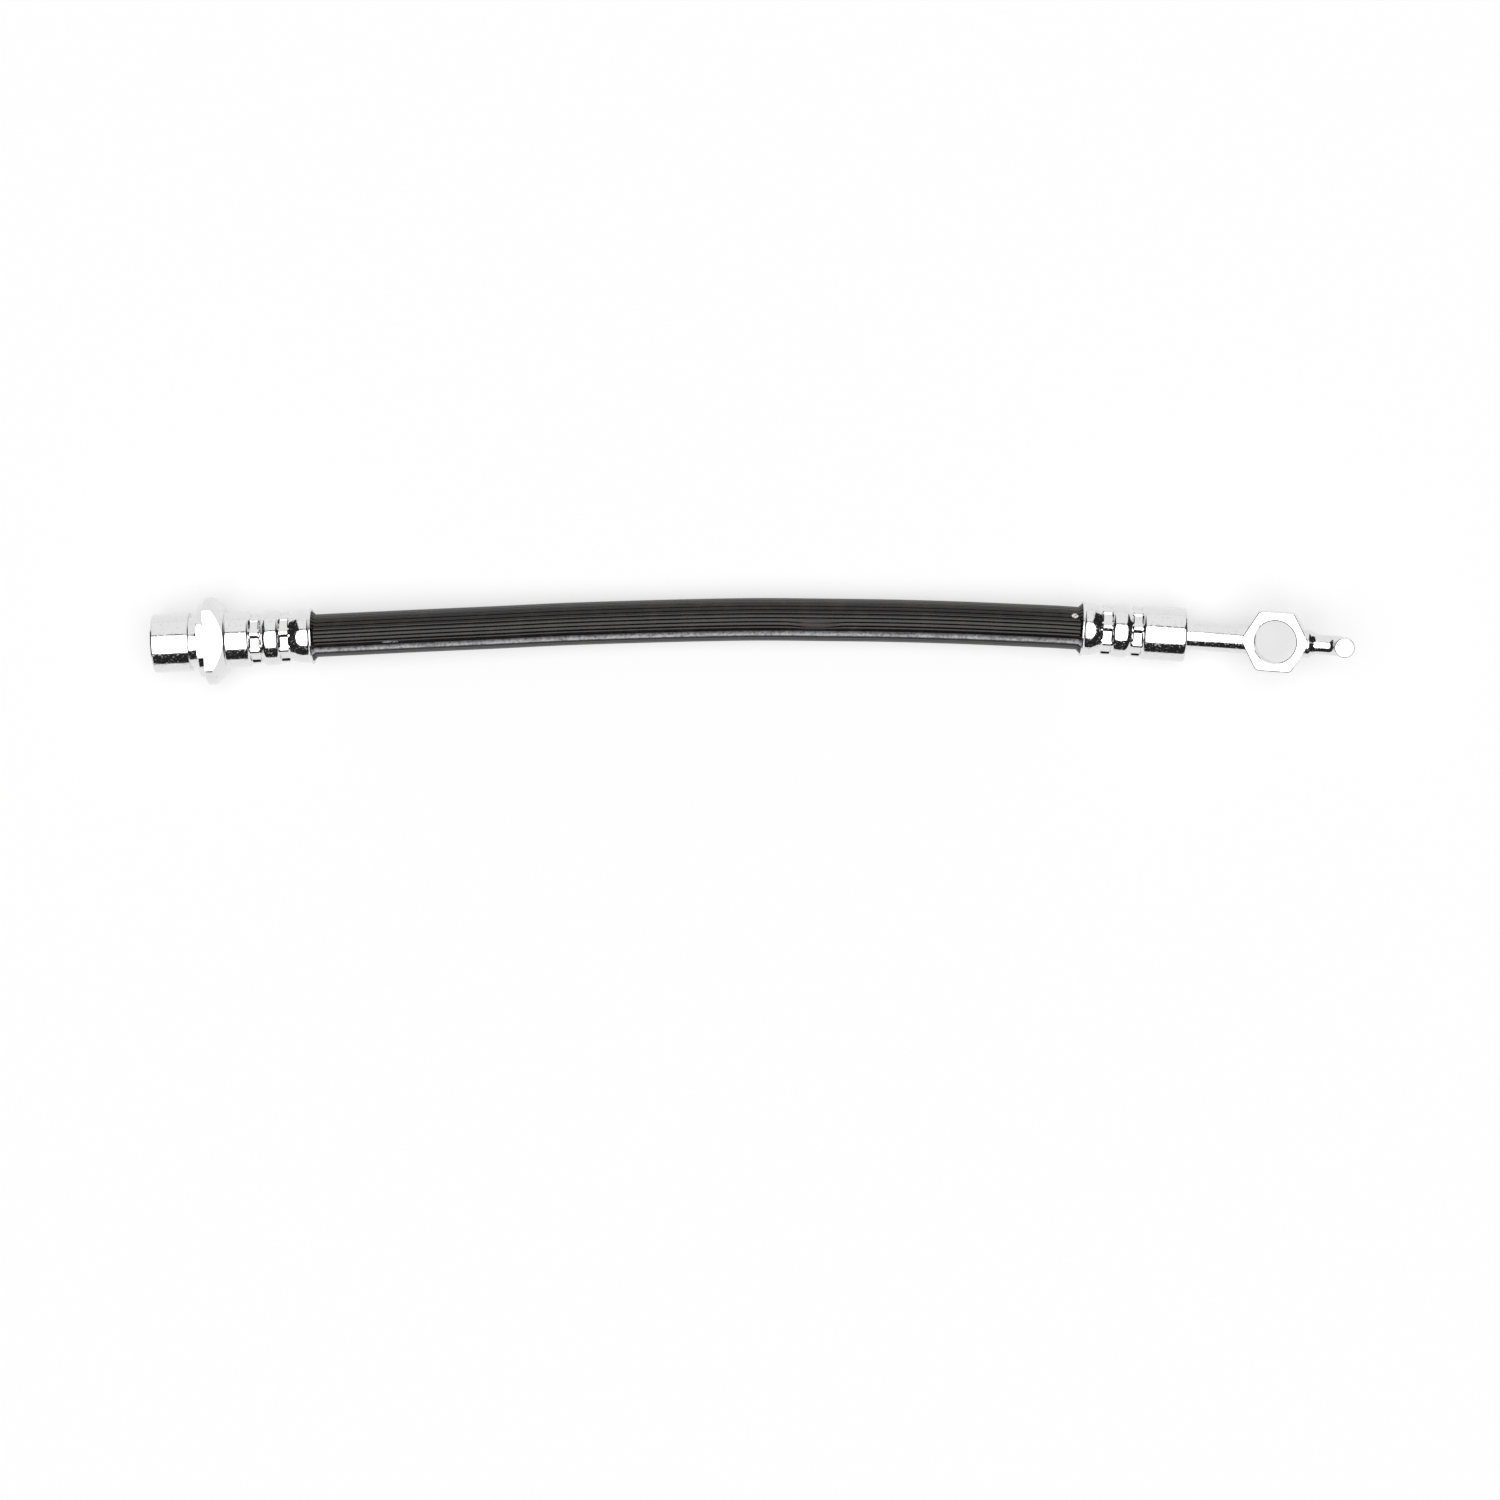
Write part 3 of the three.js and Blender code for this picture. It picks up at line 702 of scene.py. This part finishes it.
# A socket that can stand in a sum; each operator adds the Math node that works it out.
class Wire:
    def __init__(self, shading, socket):
        self.shading = shading
        self.socket = socket

    def maths(self, operation, first, second):
        return self.shading.node("ShaderNodeMath", {"operation": operation}, {0: first, 1: second})

    def __add__(self, other):
        return self.maths("ADD", self, other)

    def __radd__(self, other):
        return self.maths("ADD", other, self)

    def __sub__(self, other):
        return self.maths("SUBTRACT", self, other)

    def __rsub__(self, other):
        return self.maths("SUBTRACT", other, self)

    def __mul__(self, other):
        return self.maths("MULTIPLY", self, other)

    def __rmul__(self, other):
        return self.maths("MULTIPLY", other, self)

    def __truediv__(self, other):
        return self.maths("DIVIDE", self, other)

    def __abs__(self):
        return self.maths("ABSOLUTE", self, 0)

    def __gt__(self, other):
        return self.maths("GREATER_THAN", self, other)

    def __lt__(self, other):
        return self.maths("LESS_THAN", self, other)


class Shading:
    def __init__(self, owner):
        owner.use_nodes = True
        self.tree = owner.node_tree
        self.tree.nodes.clear()

    # Adds a node: its settings first, then the values or links of its sockets.
    def node(self, kind, settings=None, sockets=None, out=0):
        made = self.tree.nodes.new(kind)
        for name, value in (settings or {}).items():
            setattr(made, name, value)
        for name, value in (sockets or {}).items():
            if isinstance(value, Wire):
                self.tree.links.new(value.socket, made.inputs[name])
            else:
                made.inputs[name].default_value = value
        return Wire(self, made.outputs[out]) if len(made.outputs) else None


def makeZinc():
    look = {
        "colour": (0.76, 0.765, 0.76, 1), "roughness": 0.09,
        "mottle": {"Scale": 1900.0, "Detail": 3.0}, "dullRange": {"From Min": 0.54, "From Max": 0.74},
        "dullColour": (0.68, 0.685, 0.68, 1), "roughnessSpread": 0.4,
        "grain": {"Scale": 2600.0, "Detail": 2.0}, "grainDepth": 0.009 * mm,
    }
    material = bpy.data.materials.new("zinc")
    shading = Shading(material)
    place = shading.node("ShaderNodeTexCoord", out="Object")
    mottle = shading.node("ShaderNodeTexNoise", {}, {"Vector": place, **look["mottle"]})
    grain = shading.node("ShaderNodeTexNoise", {}, {"Vector": place, **look["grain"]})
    dull = shading.node("ShaderNodeMapRange", {}, {"Value": mottle, **look["dullRange"]})
    colour = shading.node("ShaderNodeMix", {"data_type": "RGBA"},
                          {0: dull, 6: look["colour"], 7: look["dullColour"]}, out=2)
    bump = shading.node("ShaderNodeBump", {},
                        {"Height": grain, "Distance": look["grainDepth"], "Strength": 1.0})
    surface = shading.node("ShaderNodeBsdfPrincipled", {}, {
        "Base Color": colour,
        "Metallic": 1.0,
        "Roughness": look["roughness"] + dull * look["roughnessSpread"],
        "Normal": bump,
    })
    shading.node("ShaderNodeOutputMaterial", {}, {"Surface": surface})
    return material


def makeRubber():
    look = {
        "colour": (0.009, 0.0075, 0.007, 1), "roughness": 0.13, "shine": 0.39,
        "fine": {"Scale": 3200.0, "Detail": 3.0},
        "fineDepth": 0.01 * mm, "fineStrength": 0.6, "fineRoughness": 0.1,
        "patches": {"Scale": 260.0, "Detail": 4.0}, "wornRange": {"From Min": 0.5, "From Max": 0.8},
        "wornColour": (0.028, 0.022, 0.019, 1),
        "stripeColour": (0.5, 0.505, 0.525, 1), "stripeRoughness": 0.35,
        "stripePeak": 0.64, "stripeTop": 1,  # where a stripe is lightest, and for how many degrees
        "speckle": {"Scale": 1500.0, "Detail": 3.0}, "speckleRange": {"From Min": 0.36, "From Max": 0.56},
        "speckleBase": 0.5, "speckleShare": 0.65,  # of the stripe's lightness
        "patchBase": 0.15, "patchShare": 1.6,  # of the same
        "scuffColour": (0.045, 0.034, 0.028, 1), "scuffRoughness": 0.5,
        "streaks": {"Scale": 1700.0, "Detail": 3.0}, "streakStretch": (0.16, 1, 1),
        "scuffRange": {"From Min": 0.25, "From Max": 0.55},
        "specks": (  # x, angle, half length, half width in degrees, least noise, colour
            (77.9 * mm, -35, 0.8 * mm, 7, 0.42, (0.8, 0.8, 0.8, 1)),
            (-86.2 * mm, 24, 2 * mm, 3, 0.45, (0.25, 0.25, 0.25, 1)),
        ),
    }
    material = bpy.data.materials.new("rubber")
    shading = Shading(material)
    place = shading.node("ShaderNodeTexCoord", out="Object")
    lengthwise = shading.node("ShaderNodeSeparateXYZ", {}, {"Vector": place}, out="X")
    unrolled = shading.node("ShaderNodeTexCoord", out="UV")
    angle = (shading.node("ShaderNodeSeparateXYZ", {}, {"Vector": unrolled}, out="X") - 0.5) * 360
    fine = shading.node("ShaderNodeTexNoise", {}, {"Vector": place, **look["fine"]})
    patches = shading.node("ShaderNodeTexNoise", {}, {"Vector": place, **look["patches"]})
    worn = shading.node("ShaderNodeMapRange", {}, {"Value": patches, **look["wornRange"]})

    spots = shading.node("ShaderNodeTexNoise", {}, {"Vector": place, **look["speckle"]})
    speckle = shading.node("ShaderNodeMapRange", {}, {"Value": spots, **look["speckleRange"]})
    stripes = 0
    for low, high in hoseLook["stripes"]:
        peak = low + look["stripePeak"] * (high - low)
        top = peak + look["stripeTop"]
        upper = shading.node("ShaderNodeMapRange", {}, {"Value": angle, "From Min": low, "From Max": peak})
        lower = shading.node("ShaderNodeMapRange", {}, {"Value": angle, "From Min": high, "From Max": top})
        stripes = upper * lower + stripes
    stripes = stripes * (speckle * look["speckleShare"] + look["speckleBase"])
    stripes = stripes * (patches * look["patchShare"] + look["patchBase"])

    scuff = shading.node("ShaderNodeAttribute", {"attribute_name": "scuff"}, out="Fac")
    stretched = shading.node("ShaderNodeMapping", {}, {"Vector": place, "Scale": look["streakStretch"]})
    streaks = shading.node("ShaderNodeTexNoise", {}, {"Vector": stretched, **look["streaks"]})
    scuffed = shading.node("ShaderNodeMapRange", {}, {"Value": scuff * streaks, **look["scuffRange"]})

    colour = look["colour"]
    for share, paint in ((worn, "wornColour"), (scuffed, "scuffColour"), (stripes, "stripeColour")):
        colour = shading.node("ShaderNodeMix", {"data_type": "RGBA"},
                              {0: share, 6: colour, 7: look[paint]}, out=2)
    for middle, turn, halfLength, halfWidth, least, paint in look["specks"]:
        along, across = (lengthwise - middle) / halfLength, (angle - turn) / halfWidth
        marked = (along * along + across * across < 1) * (fine > least)
        colour = shading.node("ShaderNodeMix", {"data_type": "RGBA"}, {0: marked, 6: colour, 7: paint}, out=2)
    bump = shading.node("ShaderNodeBump", {},
                        {"Height": fine, "Distance": look["fineDepth"], "Strength": look["fineStrength"]})
    rough = look["roughness"] + fine * look["fineRoughness"]
    rough += stripes * (look["stripeRoughness"] - look["roughness"])
    rough += scuff * (look["scuffRoughness"] - look["roughness"])
    surface = shading.node("ShaderNodeBsdfPrincipled", {}, {
        "Base Color": colour,
        "Roughness": rough,
        "Specular IOR Level": look["shine"],
        "Normal": bump,
    })
    shading.node("ShaderNodeOutputMaterial", {}, {"Surface": surface})
    return material


zinc = makeZinc()
for piece in (*fittings.values(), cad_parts["female_end_insert"]):
    piece.data.materials.clear()
    piece.data.materials.append(zinc)
hose.data.materials.append(makeRubber())
print("materials made")


# Studio: a white floor under a world that is a softbox overhead, a white wall beyond +Y and a dark room

def makeFloor():
    look = {"size": 6, "below": 0.05 * mm, "colour": 0.98, "ownWhite": 0.55}
    low, half = -look["below"], look["size"] / 2
    shape = bmesh.new()
    corners = ((-half, -half, low), (half, -half, low), (half, half, low), (-half, half, low))
    bmesh.ops.contextual_create(shape, geom=[shape.verts.new(corner) for corner in corners])
    floor = asObject(shape, "floor")
    material = bpy.data.materials.new("floor")
    material.cycles.emission_sampling = "NONE"
    shading = Shading(material)
    paper = shading.node("ShaderNodeBsdfDiffuse", {}, {"Color": (look["colour"],) * 3 + (1,)})
    white = shading.node("ShaderNodeEmission", {}, {"Strength": 1.0})
    seen = sum(shading.node("ShaderNodeLightPath", out=ray)
               for ray in ("Is Camera Ray", "Is Glossy Ray", "Is Transmission Ray"))
    mixed = shading.node("ShaderNodeMixShader", {}, {0: seen * look["ownWhite"], 1: paper, 2: white})
    shading.node("ShaderNodeOutputMaterial", {}, {"Surface": mixed})
    floor.data.materials.append(material)


def makeWorld():
    look = {
        "horizon": 0.001,  # what lies lower is neither softbox nor wall
        "front": -0.9, "back": 0.51, "side": 0.75,  # the round softbox, metres for each metre of its height
        "softbox": 2.85,
        "wallFrom": 0.62, "wallSpread": 0.52,  # of the wall's half width to its distance
        "wallSeen": 1.0, "wallLight": 0.35,
        "room": 0.02,
    }
    world = bpy.data.worlds.new("studio")
    bpy.context.scene.world = world
    shading = Shading(world)
    direction = shading.node("ShaderNodeTexCoord", out="Generated")
    x, y, z = (shading.node("ShaderNodeSeparateXYZ", {}, {"Vector": direction}, out=axis) for axis in "XYZ")
    above = z > look["horizon"]
    middle, reach = (look["back"] + look["front"]) / 2, (look["back"] - look["front"]) / 2
    outX, outY = x / z / look["side"], (y / z - middle) / reach
    softbox = above * (outX * outX + outY * outY < 1)
    wall = above * (y / z > look["wallFrom"]) * (abs(x) < y * look["wallSpread"])
    camera, glossy, through = (shading.node("ShaderNodeLightPath", out=ray)
                               for ray in ("Is Camera Ray", "Is Glossy Ray", "Is Transmission Ray"))
    wallLevel = (glossy + through) * (look["wallSeen"] - look["wallLight"]) + look["wallLight"]
    lit = softbox * look["softbox"] + wall * wallLevel + look["room"]
    strength = lit * (1 - camera) + camera
    light = shading.node("ShaderNodeBackground", {}, {"Color": (1, 1, 1, 1), "Strength": strength})
    shading.node("ShaderNodeOutputWorld", {}, {"Surface": light})


makeFloor()
makeWorld()
bpy.context.scene.view_settings.view_transform = "Standard"
print("studio made")
